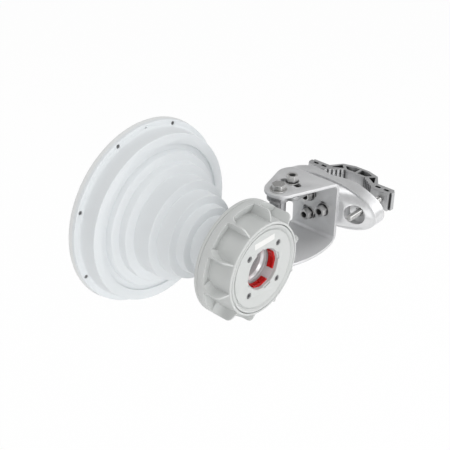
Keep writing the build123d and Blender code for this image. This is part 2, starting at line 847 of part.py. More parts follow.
def floor_outline():
    end_x = pivot_x + floor_end_reach
    near = ThreePointArc((wall_front_x, wall_high_y), (pivot_x - floor_bulge_offset, pivot_y + floor_bulge),
                         (end_x, pivot_y + floor_end_near))
    end = Pos(end_x - floor_end_radius, pivot_y) * Circle(floor_end_radius)
    back = make_hull(end.edges() + far_corner().edges() + wall_foot().edges())
    front = make_face([near, Polyline(near @ 1, (end_x, pivot_y), (wall_front_x, pivot_y), near @ 0)])
    return back + front


def channel_profile():
    length = pivot_x + floor_end_reach - wall_back_x
    height = plate_room + plate
    outer = Pos(wall_back_x, plate_low_z - plate) * Rectangle(length, height, align=(Align.MIN, Align.MIN))
    inner = Pos(wall_front_x, plate_low_z) * Rectangle(length, plate_room - plate, align=(Align.MIN, Align.MIN))
    outer = fillet(outer.vertices().group_by(Axis.X)[0], bend_round)
    inner = fillet(inner.vertices().group_by(Axis.X)[0], bend_fillet)
    return Plane.XZ * (outer - inner)


def make_u_bracket():
    channel = Pos(0, pivot_y, 0) * extrude(channel_profile(), wall_near + wall_far, both=True)
    mask = extrude(top_plate_outline(), plate_top_z) + extrude(floor_outline(), plate_low_z - plate)
    bracket = channel & mask
    low = pivot_point(plate_low_z - plate - cut_past)
    bracket -= rod(pivot_hole_radius, low, pivot_point(plate_top_z + cut_past))
    slot = extrude(arc_slot(lock_radius, slot_half_width, 180, swing_angle), plate + 2 * cut_past)
    bracket -= Pos(pivot_x, pivot_y, plate_top_z - plate - cut_past) * slot
    tilt_plane = Plane(origin=(wall_back_x - cut_past, tilt_y, tilt_z), x_dir=(0, 1, 0), z_dir=(1, 0, 0))
    for index in range(tilt_bolt_count):
        curve = arc_slot(tilt_circle, slot_half_width, index * 360 / tilt_bolt_count, swing_angle)
        bracket -= extrude(tilt_plane * curve, wall_thickness + 2 * cut_past)
    return bracket


def tilt_point(index, x):
    angle = math.radians(index * 360 / tilt_bolt_count)
    return (x, tilt_y + tilt_circle * math.cos(angle), tilt_z + tilt_circle * math.sin(angle))


def make_elevation_bolts():
    seat_x = wall_back_x - tilt_seat_depth
    tip_x = wall_front_x + m8_nut_height - m8_end_depth
    bolts = [hex_bolt(bolt_m8_radius, m8_hex, m8_head_height,
                      tilt_point(index, seat_x), tilt_point(index, tip_x))
             for index in range(tilt_bolt_count)]
    return Compound(children=bolts)


def make_elevation_nuts():
    nuts = [m8_nut(tilt_point(index, wall_front_x), (1, 0, 0)) for index in range(tilt_bolt_count)]
    return Compound(children=nuts)


# Clamp saddle
def oval(x, half_length, half_height):
    return Plane(origin=(x, clamp_y, 0), x_dir=(0, 1, 0), z_dir=(1, 0, 0)) * Ellipse(half_length, half_height)


def saddle_body():
    body = extrude(oval(saddle_back_x, saddle_half_length, saddle_half_height), saddle_thickness)
    base = oval(saddle_front_x, saddle_half_length - saddle_shoulder_inset,
                saddle_half_height - saddle_shoulder_inset)
    pad = Pos(0, -clamp_offset_y / 2, 0) * oval(wall_back_x, saddle_pad_half_length, saddle_pad_half_height)
    return body + loft([base.face(), pad.face()])


def saddle_vee():
    corners = [(saddle_back_x - cut_past, clamp_y - saddle_groove_half_width),
               (saddle_back_x - cut_past, clamp_y + saddle_groove_half_width),
               (saddle_back_x + saddle_groove_depth, clamp_y)]
    return extrude(make_face(Polyline(*corners, close=True)), saddle_half_height + cut_past, both=True)


# A cup in the slope, a dish in its floor, and a round pocket for the press nut and its washer
def saddle_cup(y):
    over_x = wall_back_x + cut_past
    cup = rod(cup_radius, (cup_floor_x, y, 0), (over_x, y, 0))
    dish = Cone(dish_floor_radius, cup_radius, dish_depth, align=(Align.CENTER, Align.CENTER, Align.MIN))
    cup += Plane(origin=(dish_floor_x, y, 0), z_dir=(1, 0, 0)) * dish
    cup += rod(press_nut_radius + press_nut_play, (washer_seat_x, y, 0), (dish_floor_x, y, 0))
    return cup + rod(m8_hole_radius, (saddle_back_x - cut_past, y, 0), (washer_seat_x, y, 0))


def make_clamp_saddle():
    saddle = saddle_body() - saddle_vee()
    for y in bolt_ys:
        saddle -= saddle_cup(y)
    seat_x = wall_back_x - tilt_seat_depth
    start_x = saddle_back_x - cut_past
    for index in range(tilt_bolt_count):
        saddle -= rod(m8_hole_radius, tilt_point(index, start_x), tilt_point(index, wall_back_x + cut_past))
        saddle -= hexagon(m8_hex + hex_pocket_play, tilt_point(index, start_x), tilt_point(index, seat_x))
    return saddle


def make_pole_washers():
    hole = bolt_m8_radius + bolt_hole_play
    top_x = washer_seat_x + pole_washer_thickness
    washers = [flat_washer(press_nut_radius, hole, (washer_seat_x, y, 0), (top_x, y, 0)) for y in bolt_ys]
    return Compound(children=washers)


def make_pole_nuts():
    bore = bolt_m8_radius + thread_play
    low_x = washer_seat_x + pole_washer_thickness
    nuts = [flat_washer(press_nut_radius, bore, (low_x, y, 0), (dish_floor_x, y, 0)) for y in bolt_ys]
    return Compound(children=nuts)


# Clamp jaw. Its points are a depth behind the jaw's front face and a distance from the middle
def jaw_point(depth, offset):
    return (jaw_front_x - depth, clamp_y + offset)


def jaw_flank():
    run = (jaw_vee_depth, jaw_vee_floor_half - jaw_vee_half_width)
    length = math.hypot(*run)
    bite = (jaw_tooth_depth * -run[1] / length, jaw_tooth_depth * run[0] / length)
    flank = []
    for step in range(jaw_tooth_count):
        root = step / jaw_tooth_count
        tip = (step + jaw_tooth_lead) / jaw_tooth_count
        flank.append((root * run[0], jaw_vee_half_width + root * run[1]))
        flank.append((tip * run[0] + bite[0], jaw_vee_half_width + tip * run[1] + bite[1]))
    return flank + [(jaw_vee_depth, jaw_vee_floor_half)]


def jaw_outline():
    bead = jaw_half_length + jaw_bead_rise
    half = [
        (0, jaw_half_length), (jaw_thickness - jaw_bead_front, jaw_half_length),
        (jaw_thickness - jaw_bead_front, bead),
        (jaw_thickness - jaw_bead_back, bead), (jaw_thickness - jaw_bead_back, jaw_half_length),
        (jaw_thickness, jaw_half_length), (jaw_thickness, jaw_shoulder), (jaw_knee_depth, jaw_knee_half),
        (jaw_hump_depth, jaw_hump_half),
    ]
    half = jaw_flank()[::-1] + half
    points = half + [(depth, -offset) for depth, offset in half[::-1]]
    return make_face(Polyline(*[jaw_point(*point) for point in points], close=True))


def jaw_cells(side):
    floor = jaw_vee_depth + jaw_web
    back = jaw_hump_depth - jaw_web
    knee = jaw_knee_depth - jaw_web
    middle = [
        (floor, jaw_rib_half), (floor, jaw_vee_floor_half + jaw_cell_round),
        (knee, jaw_knee_half - jaw_cell_inset), (back, jaw_hump_half), (back, jaw_rib_half),
    ]
    outer = [
        (floor, jaw_vee_floor_half + jaw_cell_inset), (knee, jaw_knee_half - jaw_cell_round),
        (jaw_thickness - jaw_web, jaw_shoulder - jaw_web),
    ]
    cells = []
    for corners in (middle, outer):
        cell = make_face(Polyline(*[jaw_point(depth, side * offset) for depth, offset in corners], close=True))
        cells.append(fillet(cell.vertices(), jaw_cell_round))
    for offset in (bolt_spacing / 2 - jaw_slot_inboard, bolt_spacing / 2 + jaw_slot_outboard):
        slot = RectangleRounded(jaw_slot_depth, jaw_slot_length, jaw_slot_round)
        cells.append(Pos(*jaw_point(jaw_thickness / 2, side * offset)) * slot)
    return cells


def make_clamp_jaw():
    section = jaw_outline()
    for cell in jaw_cells(1) + jaw_cells(-1):
        section -= cell
    jaw = extrude(section, jaw_half_height, both=True)
    for y in bolt_ys:
        jaw -= rod(m8_hole_radius, (jaw_back_x - cut_past, y, 0), (jaw_front_x + cut_past, y, 0))
    return jaw


def make_pole_bolts():
    tip_x = dish_floor_x + pole_bolt_rise
    bolts = [hex_bolt(bolt_m8_radius, m8_hex, m8_head_height, (jaw_back_x, y, 0), (tip_x, y, 0))
             for y in bolt_ys]
    return Compound(children=bolts)


parts = {
    "horn_shell": make_horn_shell(),
    "rim_screws": make_rim_screws(),
    "rim_gasket": make_rim_gasket(),
    "radome": make_radome(),
    "hub_front_ring": make_front_ring(),
    "hub_housing": make_hub_housing(),
    "ring_screws": make_ring_screws(),
    "back_cover": make_back_cover(),
    "cover_screws": make_cover_screws(),
    "port_socket": make_port_socket(),
    "lock_clips": make_lock_clips(),
    "port_seal": make_port_seal(),
    "throat_tube": make_throat_tube(),
    "bracket_arm": make_bracket_arm(),
    "arm_screws": make_arm_screws(),
    "pivot_bolt": make_pivot_bolt(),
    "pivot_nut": make_pivot_nut(),
    "pivot_washers": make_pivot_washers(),
    "lock_bolt": make_lock_bolt(),
    "lock_nut": make_lock_nut(),
    "u_bracket": make_u_bracket(),
    "elevation_bolts": make_elevation_bolts(),
    "elevation_nuts": make_elevation_nuts(),
    "clamp_saddle": make_clamp_saddle(),
    "clamp_jaw": make_clamp_jaw(),
    "pole_bolts": make_pole_bolts(),
    "pole_washers": make_pole_washers(),
    "pole_nuts": make_pole_nuts(),
}

os.makedirs("parts", exist_ok=True)
for name, shape in parts.items():
    export_step(shape, "parts/" + name + ".step")
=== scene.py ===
# Horn antenna on its pole bracket: finishes, fasteners, lights and camera
import json
import math

import bmesh
import bpy
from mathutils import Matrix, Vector


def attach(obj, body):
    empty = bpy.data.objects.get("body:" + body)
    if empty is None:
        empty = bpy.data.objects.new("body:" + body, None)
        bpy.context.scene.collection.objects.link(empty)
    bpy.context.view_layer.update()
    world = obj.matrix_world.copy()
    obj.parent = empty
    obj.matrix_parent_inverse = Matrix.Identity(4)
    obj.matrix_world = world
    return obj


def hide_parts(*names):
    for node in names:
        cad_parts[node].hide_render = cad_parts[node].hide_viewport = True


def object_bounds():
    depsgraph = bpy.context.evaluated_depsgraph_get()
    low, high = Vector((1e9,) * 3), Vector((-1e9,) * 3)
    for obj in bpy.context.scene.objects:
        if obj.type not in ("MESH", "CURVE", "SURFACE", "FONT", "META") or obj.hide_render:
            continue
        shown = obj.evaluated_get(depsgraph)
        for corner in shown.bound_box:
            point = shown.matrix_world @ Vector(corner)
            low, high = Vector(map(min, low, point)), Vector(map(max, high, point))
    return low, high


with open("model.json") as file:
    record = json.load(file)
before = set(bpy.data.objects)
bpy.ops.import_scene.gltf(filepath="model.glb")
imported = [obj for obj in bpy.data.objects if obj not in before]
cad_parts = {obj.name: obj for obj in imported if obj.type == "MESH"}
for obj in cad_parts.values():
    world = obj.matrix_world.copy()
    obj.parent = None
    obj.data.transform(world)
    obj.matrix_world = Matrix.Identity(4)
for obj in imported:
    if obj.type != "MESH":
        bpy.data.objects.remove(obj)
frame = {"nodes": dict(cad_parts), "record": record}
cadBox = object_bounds()
nodes = frame["nodes"]
bodyOf = {node: body for body, members in frame["record"]["behaviour"]["bodies"].items() for node in members}
slotOf = {part["node"]: part["material_slot"] for part in frame["record"]["subparts"]}
mm = 0.001
print("frame loaded:", len(nodes), "nodes")


# Camera first, at the photograph's viewing angle
cameraLook = {
    "place": (0.64474, 0.53180, 0.56263),
    "turn": (58.840, -0.188, 132.633),   # degrees
    "lens": 71.27,                       # mm on a 36 mm sensor
}


def addCamera(look):
    bpy.ops.object.select_all(action="DESELECT")
    bpy.ops.object.camera_add(location=look["place"], rotation=[math.radians(a) for a in look["turn"]])
    camera = bpy.context.object
    camera.name = "photoCamera"
    camera.data.lens = look["lens"]
    camera.data.sensor_width = 36
    bpy.context.scene.camera = camera


addCamera(cameraLook)


# Shader maths: a socket that adds, multiplies and mixes as numbers do
class Wire:
    def __init__(self, tree, socket=None):
        self.tree = tree
        self.socket = socket

    def node(self, kind, settings, inputs, out=0):
        made = self.tree.nodes.new(kind)
        for name, value in settings.items():
            setattr(made, name, value)
        for key, value in inputs.items():
            if isinstance(value, Wire):
                self.tree.links.new(value.socket, made.inputs[key])
            else:
                made.inputs[key].default_value = value
        return Wire(self.tree, made.outputs[out])

    def math(self, operation, first, second):
        return self.node("ShaderNodeMath", {"operation": operation}, {0: first, 1: second})

    def __add__(self, other):
        return self.math("ADD", self, other)

    def __sub__(self, other):
        return self.math("SUBTRACT", self, other)

    def __rsub__(self, other):
        return self.math("SUBTRACT", other, self)

    def __mul__(self, other):
        return self.math("MULTIPLY", self, other)

    def __gt__(self, other):
        return self.math("GREATER_THAN", self, other)

    def clamp(self):
        return self.node("ShaderNodeClamp", {}, {0: self})


def grey(value):
    return (value, value, value, 1)


def startMaterial(name, plain):
    material = bpy.data.materials.new(name)
    material.use_nodes = True
    tree = material.node_tree
    shader = tree.nodes["Principled BSDF"]
    for key, value in plain.items():
        shader.inputs[key].default_value = value
    place = Wire(tree).node("ShaderNodeTexCoord", {}, {}, "Object")
    return material, place, shader


def feed(wire, target):
    wire.tree.links.new(wire.socket, target)


def noise(place, scale, detail=3, rough=0.55):
    return place.node("ShaderNodeTexNoise", {}, {"Vector": place, "Scale": scale, "Detail": detail,
                                                 "Roughness": rough})


def stretched(place, scale):
    return place.node("ShaderNodeMapping", {}, {"Vector": place, "Scale": scale})


def tint(mask, dark, light):
    return mask.node("ShaderNodeMix", {"data_type": "RGBA"}, {0: mask, 6: dark + (1,), 7: light + (1,)}, 2)


def bump(height, depth, strength):
    return height.node("ShaderNodeBump", {}, {"Height": height, "Distance": depth, "Strength": strength})


# Moulded skins: a soft cloud of tone, a fine grain and a little unevenness of gloss
cloudShare = 0.7


def mouldedSkin(name, look):
    material, place, shader = startMaterial(name, {"Roughness": look["gloss"], "IOR": 1.46,
                                                   "Specular IOR Level": look["shine"]})
    cloud = noise(place, look["cloudScale"], 2)
    grain = noise(place, look["grainScale"], 4, 0.6)
    tone = (cloud * cloudShare + grain * (1 - cloudShare)).clamp()
    feed(tint(tone, look["dark"], look["light"]), shader.inputs["Base Color"])
    feed((cloud - 0.5) * look["glossSpread"] + look["gloss"], shader.inputs["Roughness"])
    feed(bump(grain, look["grainDepth"], look["grainStrength"]), shader.inputs["Normal"])
    return material


# Cast, bent and drawn metal: grain over broad patches of brighter and duller skin
patchGloss = 0.25
grainGloss = 0.2
paintedShadeColour = (0.05, 0.05, 0.052, 1)     # painted shade: a near-black grey for the metal's hollows


def grainyMetal(name, look):
    material, place, shader = startMaterial(name, {"Metallic": look["metal"], "Roughness": look["gloss"]})
    patch = noise(place, look["patchScale"], 3)
    run = stretched(place, look["runScale"])
    grain = noise(run, look["grainScale"], 5, 0.65)
    fleck = noise(place, look["fleckScale"], 1) > look["fleckLimit"]
    tone = ((patch - 0.5) * look["patchSpread"] + (grain - 0.5) * look["grainSpread"] + 0.5).clamp()
    tone = (tone + fleck * look["fleckGain"]).clamp()
    skin = tint(tone, look["dark"], look["light"])
    if "paintedShade" in look:                  # painted shade darkens the metal's own hollows, where less light reaches
        hollow = 1 - place.node("ShaderNodeAmbientOcclusion", {"samples": 12, "only_local": True},
                                {"Distance": look["paintedShadeReach"] * mm}, 1)
        skin = skin.node("ShaderNodeMix", {"data_type": "RGBA"},
                         {0: (hollow * look["paintedShade"]).clamp(), 6: skin, 7: paintedShadeColour}, 2)
    feed(skin, shader.inputs["Base Color"])
    gloss = (patch - 0.5) * patchGloss + (grain - 0.5) * grainGloss + look["gloss"]
    feed(gloss.clamp(), shader.inputs["Roughness"])
    feed(bump(grain, look["grainDepth"], look["grainStrength"]), shader.inputs["Normal"])
    return material


# Turned metal: fine rings round the port axis
ringShare = 0.4
smearGloss = 0.2


def turnedMetal(name, look):
    material, place, shader = startMaterial(name, {"Metallic": look["metal"], "Roughness": look["gloss"]})
    rings = place.node("ShaderNodeTexWave", {"wave_type": "BANDS", "bands_direction": "Y"},
                       {"Vector": place, "Scale": look["ringScale"], "Distortion": 0, "Detail": 0})
    smear = noise(stretched(place, look["smearScale"]), 1, 3)
    tone = (rings * ringShare + smear * (1 - ringShare)).clamp()
    feed(tint(tone, look["dark"], look["light"]), shader.inputs["Base Color"])
    feed(((smear - 0.5) * smearGloss + look["gloss"]).clamp(), shader.inputs["Roughness"])
    feed(bump(rings, look["ringDepth"], look["ringStrength"]), shader.inputs["Normal"])
    return material


finishes = {
    "horn_coat": mouldedSkin("hornCoat", {
        "dark": (0.66, 0.685, 0.70), "light": (0.74, 0.765, 0.78), "gloss": 0.48, "shine": 0.35,
        "glossSpread": 0.12, "cloudScale": 9, "grainScale": 900, "grainDepth": 0.00006,
        "grainStrength": 0.3}),
    "radome_plastic": mouldedSkin("radomeSkin", {
        "dark": (0.66, 0.67, 0.67), "light": (0.74, 0.75, 0.75), "gloss": 0.42, "shine": 0.35,
        "glossSpread": 0.10, "cloudScale": 12, "grainScale": 700, "grainDepth": 0.00005,
        "grainStrength": 0.3}),
    "hub_plastic": mouldedSkin("hubSkin", {
        "dark": (0.50, 0.513, 0.505), "light": (0.572, 0.585, 0.577), "gloss": 0.42, "shine": 0.4,
        "glossSpread": 0.12, "cloudScale": 22, "grainScale": 1600, "grainDepth": 0.00005,
        "grainStrength": 0.35}),
    "socket_plastic": mouldedSkin("socketSkin", {
        "dark": (0.54, 0.51, 0.52), "light": (0.64, 0.61, 0.62), "gloss": 0.42, "shine": 0.4,
        "glossSpread": 0.1, "cloudScale": 60, "grainScale": 1500, "grainDepth": 0.00004,
        "grainStrength": 0.3}),
    "red_plastic": mouldedSkin("redLatch", {
        "dark": (0.44, 0.004, 0.004), "light": (0.60, 0.009, 0.008), "gloss": 0.26, "shine": 0.4,
        "glossSpread": 0.1, "cloudScale": 90, "grainScale": 900, "grainDepth": 0.00003,
        "grainStrength": 0.2}),
    "seal_rubber": mouldedSkin("sealRubber", {
        "dark": (0.05, 0.035, 0.035), "light": (0.09, 0.06, 0.06), "gloss": 0.6, "shine": 0.3,
        "glossSpread": 0.1, "cloudScale": 80, "grainScale": 1500, "grainDepth": 0.00004,
        "grainStrength": 0.4}),
    "cast_aluminium": grainyMetal("castAluminium", {
        "dark": (0.56, 0.563, 0.57), "light": (0.84, 0.843, 0.85), "metal": 0.70, "gloss": 0.38,
        "patchScale": 26, "patchSpread": 0.9, "runScale": (1, 1, 1), "grainScale": 520,
        "grainSpread": 0.7, "fleckScale": 700, "fleckLimit": 0.68, "fleckGain": 0.10,
        "grainDepth": 0.00012, "grainStrength": 0.5, "paintedShade": 0.7, "paintedShadeReach": 9}),
    "bent_aluminium": grainyMetal("bentAluminium", {
        "dark": (0.54, 0.543, 0.55), "light": (0.72, 0.723, 0.73), "metal": 0.45, "gloss": 0.50,
        "patchScale": 18, "patchSpread": 0.6, "runScale": (1, 1, 1), "grainScale": 900,
        "grainSpread": 0.8, "fleckScale": 900, "fleckLimit": 0.70, "fleckGain": 0.12,
        "grainDepth": 0.00008, "grainStrength": 0.4, "paintedShade": 0.3, "paintedShadeReach": 8}),
    "drawn_aluminium": grainyMetal("drawnAluminium", {
        "dark": (0.40, 0.402, 0.408), "light": (0.66, 0.663, 0.67), "metal": 0.75, "gloss": 0.38,
        "patchScale": 30, "patchSpread": 0.7, "runScale": (1, 1, 0.04), "grainScale": 700,
        "grainSpread": 0.8, "fleckScale": 900, "fleckLimit": 0.72, "fleckGain": 0.1,
        "grainDepth": 0.00008, "grainStrength": 0.4, "paintedShade": 3.0, "paintedShadeReach": 9}),
    "stainless": grainyMetal("stainlessSteel", {
        "dark": (0.46, 0.457, 0.45), "light": (0.66, 0.657, 0.65), "metal": 0.9, "gloss": 0.27,
        "patchScale": 60, "patchSpread": 0.3, "runScale": (1, 1, 1), "grainScale": 1800,
        "grainSpread": 0.12, "fleckScale": 1500, "fleckLimit": 0.74, "fleckGain": 0.05,
        "grainDepth": 0.00001, "grainStrength": 0.12, "paintedShade": 0.7, "paintedShadeReach": 3}),
    "bare_aluminium": turnedMetal("turnedAluminium", {
        "dark": (0.70, 0.70, 0.71), "light": (0.90, 0.90, 0.91), "metal": 0.45, "gloss": 0.30,
        "ringScale": 900, "ringDepth": 0.00003, "ringStrength": 0.5, "smearScale": (60, 900, 60)}),
}
extras = {
    # A darker copy of the cast aluminium for the arm: painted shade for the shadow under the bracket's top
    # plate
    "armCasting": grainyMetal("armCasting", {
        "dark": (0.24, 0.242, 0.248), "light": (0.42, 0.422, 0.428), "metal": 0.8, "gloss": 0.42,
        "patchScale": 26, "patchSpread": 0.9, "runScale": (1, 1, 1), "grainScale": 520,
        "grainSpread": 0.7, "fleckScale": 700, "fleckLimit": 0.68, "fleckGain": 0.12,
        "grainDepth": 0.00012, "grainStrength": 0.5}),
    "dullScrew": grainyMetal("dullScrew", {
        "dark": (0.16, 0.16, 0.165), "light": (0.30, 0.30, 0.305), "metal": 0.8, "gloss": 0.42,
        "patchScale": 120, "patchSpread": 0.6, "runScale": (1, 1, 1), "grainScale": 1500,
        "grainSpread": 0.5, "fleckScale": 1500, "fleckLimit": 0.72, "fleckGain": 0.1,
        "grainDepth": 0.00003, "grainStrength": 0.3}),
    "nutSteel": grainyMetal("nutSteel", {
        "dark": (0.50, 0.497, 0.49), "light": (0.68, 0.677, 0.67), "metal": 0.85, "gloss": 0.30,
        "patchScale": 60, "patchSpread": 0.3, "runScale": (1, 1, 1), "grainScale": 1800,
        "grainSpread": 0.12, "fleckScale": 1500, "fleckLimit": 0.74, "fleckGain": 0.05,
        "grainDepth": 0.00001, "grainStrength": 0.12, "paintedShade": 3.2, "paintedShadeReach": 6}),
    # Painted shade: a near-black skin for a bolt's end down in its nut
    "threadShade": mouldedSkin("threadShade", {
        "dark": (0.012, 0.012, 0.013), "light": (0.03, 0.03, 0.031), "gloss": 0.7, "shine": 0.1,
        "glossSpread": 0.1, "cloudScale": 300, "grainScale": 3000, "grainDepth": 0.00004,
        "grainStrength": 0.4}),
    "portSeal": mouldedSkin("portSeal", {
        "dark": (0.42, 0.41, 0.41), "light": (0.52, 0.51, 0.51), "gloss": 0.5, "shine": 0.35,
        "glossSpread": 0.1, "cloudScale": 80, "grainScale": 1500, "grainDepth": 0.00003,
        "grainStrength": 0.3}),
    "labelVinyl": mouldedSkin("labelVinyl", {
        "dark": (0.70, 0.70, 0.685), "light": (0.75, 0.75, 0.735), "gloss": 0.38, "shine": 0.4,
        "glossSpread": 0.06, "cloudScale": 60, "grainScale": 900, "grainDepth": 0.00002,
        "grainStrength": 0.2}),
}
# Painted highlights: lighter copies of the hub and sheet finishes, for the bevel strips on convex edges
edgeHighlights = {
    "hub": mouldedSkin("hubEdgeHighlight", {
        "dark": (0.74, 0.753, 0.745), "light": (0.80, 0.813, 0.805), "gloss": 0.36, "shine": 0.45,
        "glossSpread": 0.12, "cloudScale": 22, "grainScale": 1600, "grainDepth": 0.00003,
        "grainStrength": 0.3}),
    "sheet": grainyMetal("sheetEdgeHighlight", {
        "dark": (0.66, 0.663, 0.67), "light": (0.84, 0.843, 0.85), "metal": 0.5, "gloss": 0.42,
        "patchScale": 18, "patchSpread": 0.6, "runScale": (1, 1, 1), "grainScale": 900,
        "grainSpread": 0.8, "fleckScale": 900, "fleckLimit": 0.70, "fleckGain": 0.12,
        "grainDepth": 0.00006, "grainStrength": 0.35}),
}
print("finishes made:", len(finishes), "with", len(extras), "more and", len(edgeHighlights), "for painted edge highlights")


# CAD nodes get their true finish on a smooth copy with softened edges. Sizes are in mm, and angles
# in degrees: an edge that turns by more than angle is softened, and one by more than smooth stays sharp
usualLook = {"angle": 34, "smooth": 30}
lockCentres = [(-123.7, -61.0, 0)]
tiltCentres = [(0, -35.7, -3.2), (0, -58.65, 10.05), (0, -58.65, -16.45)]
nodeLook = {
    "horn_shell": {"bevel": 0.5},
    "rim_screws": {"bevel": 0.15, "finish": "dullScrew"},
    "rim_gasket": {"bevel": 0, "smooth": 50},
    "radome": {"bevel": 0.4},
    "hub_front_ring": {"bevel": 0.25},
    "hub_housing": {"bevel": 0.7, "angle": 30, "smooth": 28, "edgeHighlight": "hub"},
    "ring_screws": {"bevel": 0.2},
    "back_cover": {"bevel": 0.25},
    "cover_screws": {"bevel": 0.2, "finish": "dullScrew"},
    "port_socket": {"bevel": 0.25},
    "lock_clips": {"bevel": 0.25},
    "port_seal": {"bevel": 0, "smooth": 60, "finish": "portSeal"},
    "throat_tube": {"bevel": 0.2},
    "bracket_arm": {"bevel": 0.7, "finish": "armCasting"},
    "arm_screws": {"bevel": 0.2},
    "pivot_bolt": {"bevel": 0.35},
    "pivot_nut": {"bevel": 0.35},
    "pivot_washers": {"bevel": 0.15},
    "lock_bolt": {"bevel": 0.35,
                  "shade": {"axis": 2, "centres": lockCentres, "radius": 4.1, "beyond": 44}},
    "lock_nut": {"bevel": 0.35, "lift": 0.04, "finish": "nutSteel"},
    "u_bracket": {"bevel": 1.1, "angle": 40, "edgeHighlight": "sheet"},
    "elevation_bolts": {"bevel": 0.35,
                        "shade": {"axis": 0, "centres": tiltCentres, "radius": 4.1, "beyond": -155}},
    "elevation_nuts": {"bevel": 0.35, "finish": "nutSteel"},
    "clamp_saddle": {"bevel": 0.8, "smooth": 32},
    "clamp_jaw": {"bevel": 0.4},
    "pole_bolts": {"bevel": 0.35},
    "pole_washers": {"bevel": 0.2},
    "pole_nuts": {"bevel": 0.35},
}


def onlyThis(piece):
    bpy.ops.object.select_all(action="DESELECT")
    piece.select_set(True)
    bpy.context.view_layer.objects.active = piece


def setFinish(piece, slot, look):
    piece.data.materials.clear()
    piece.data.materials.append(extras[look["finish"]] if "finish" in look else finishes[slot])
    if "edgeHighlight" in look:
        piece.data.materials.append(edgeHighlights[look["edgeHighlight"]])
    if "shade" in look:
        piece.data.materials.append(extras["threadShade"])


def markCrests(piece, angle):
    mesh = bmesh.new()
    mesh.from_mesh(piece.data)
    weight = mesh.edges.layers.float.new("bevel_weight_edge")
    for edge in mesh.edges:
        if len(edge.link_faces) == 2 and edge.is_convex and edge.calc_face_angle() > math.radians(angle):
            edge[weight] = 1
    mesh.to_mesh(piece.data)
    mesh.free()


# Painted shade: the bolt's end face, down in its nut, gets a near-black skin
def shadeBoltEnds(piece, shade):
    for face in piece.data.polygons:
        lengthwise = abs(face.normal[shade["axis"]]) < 0.5
        if lengthwise or face.center[shade["axis"]] < shade["beyond"] * mm:
            continue
        for centre in shade["centres"]:
            out = face.center - Vector(centre) * mm
            out[shade["axis"]] = 0
            if out.length < shade["radius"] * mm:
                face.material_index = 1


mergeReach = 0.000002
flatAngle = 0.2                          # degrees


def softenNode(node, ownLook):
    look = usualLook | ownLook
    piece = bpy.data.objects.new(node + "Skin", nodes[node].data.copy())
    bpy.context.scene.collection.objects.link(piece)
    onlyThis(piece)
    bpy.ops.object.mode_set(mode="EDIT")
    bpy.ops.mesh.select_all(action="SELECT")
    bpy.ops.mesh.customdata_custom_splitnormals_clear()
    bpy.ops.mesh.remove_doubles(threshold=mergeReach)
    bpy.ops.mesh.dissolve_limited(angle_limit=math.radians(flatAngle))
    bpy.ops.object.mode_set(mode="OBJECT")
    setFinish(piece, slotOf[node], look)
    if look["bevel"]:
        markCrests(piece, look["angle"])
        edge = piece.modifiers.new("softEdge", "BEVEL")
        edge.width = look["bevel"] * mm
        edge.segments = 2
        edge.limit_method = "WEIGHT"
        # Bevel strips on convex edges take the painted highlight, where the node has one
        edge.material = 1 if "edgeHighlight" in look else -1
        edge.use_clamp_overlap = True
        edge.harden_normals = False
        bpy.ops.object.modifier_apply(modifier=edge.name)
    if "lift" in look:                   # a foot that slides stands this far off its track
        foot = min(vertex.co.z for vertex in piece.data.vertices) + look["lift"] * mm
        for vertex in piece.data.vertices:
            vertex.co.z = max(vertex.co.z, foot)
    if "shade" in look:
        shadeBoltEnds(piece, look["shade"])
    bpy.ops.object.shade_smooth_by_angle(angle=math.radians(look["smooth"]))
    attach(piece, bodyOf[node])
    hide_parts(node)
    return piece


skins = {node: softenNode(node, look) for node, look in nodeLook.items()}
print("skins made:", len(skins))


# Threads: each shank is drawn in to the thread's root, and a screwed ridge goes round it
poleThread = {"node": "pole_bolts", "axis": 0, "start": -230.0, "end": -156.6, "radius": 4.0, "pitch": 1.25,
              "centres": [(-97.7, 0.0), (4.7, 0.0)]}
pivotThread = {"node": "pivot_bolt", "axis": 2, "start": -54.6, "end": -40.0, "radius": 5.0, "pitch": 1.5,
               "centres": [(-97.5, -61.0)]}
stepHalfLength = 0.2                     # mm, from the plain shank to the thread's root
ridgeSink = 0.03                         # mm that the ridge stands in the root
pickSlack = 0.05                         # mm
threadDepth = 0.5                        # of the pitch
threadSmooth = 25                        # degrees
threadSteps = 20
threadMerge = 0.00002
runOutSink = 0.15                        # mm under the root, where a ridge starts
runOutSlope = 0.75


def thinShank(piece, look):
    axis = look["axis"]
    normal = [0, 0, 0]
    normal[axis] = 1
    across = [index for index in range(3) if index != axis]
    innerEnd = look["start"] if axis == 0 else look["end"]
    stepped = [innerEnd - stepHalfLength, innerEnd + stepHalfLength]
    onlyThis(piece)
    bpy.ops.object.mode_set(mode="EDIT")
    for place in stepped:
        point = [0, 0, 0]
        point[axis] = place * mm
        bpy.ops.mesh.select_all(action="SELECT")
        bpy.ops.mesh.bisect(plane_co=point, plane_no=normal)
    bpy.ops.object.mode_set(mode="OBJECT")
    root = (look["radius"] - look["pitch"] * threadDepth + ridgeSink) / look["radius"]
    for vertex in piece.data.vertices:
        lengthwise = vertex.co[axis] / mm
        if not look["start"] <= lengthwise <= look["end"] + pickSlack:
            continue
        for centre in look["centres"]:
            gap = [vertex.co[across[k]] / mm - centre[k] for k in (0, 1)]
            if math.hypot(*gap) < look["radius"] + pickSlack:
                for k in (0, 1):
                    vertex.co[across[k]] = (centre[k] + gap[k] * root) * mm


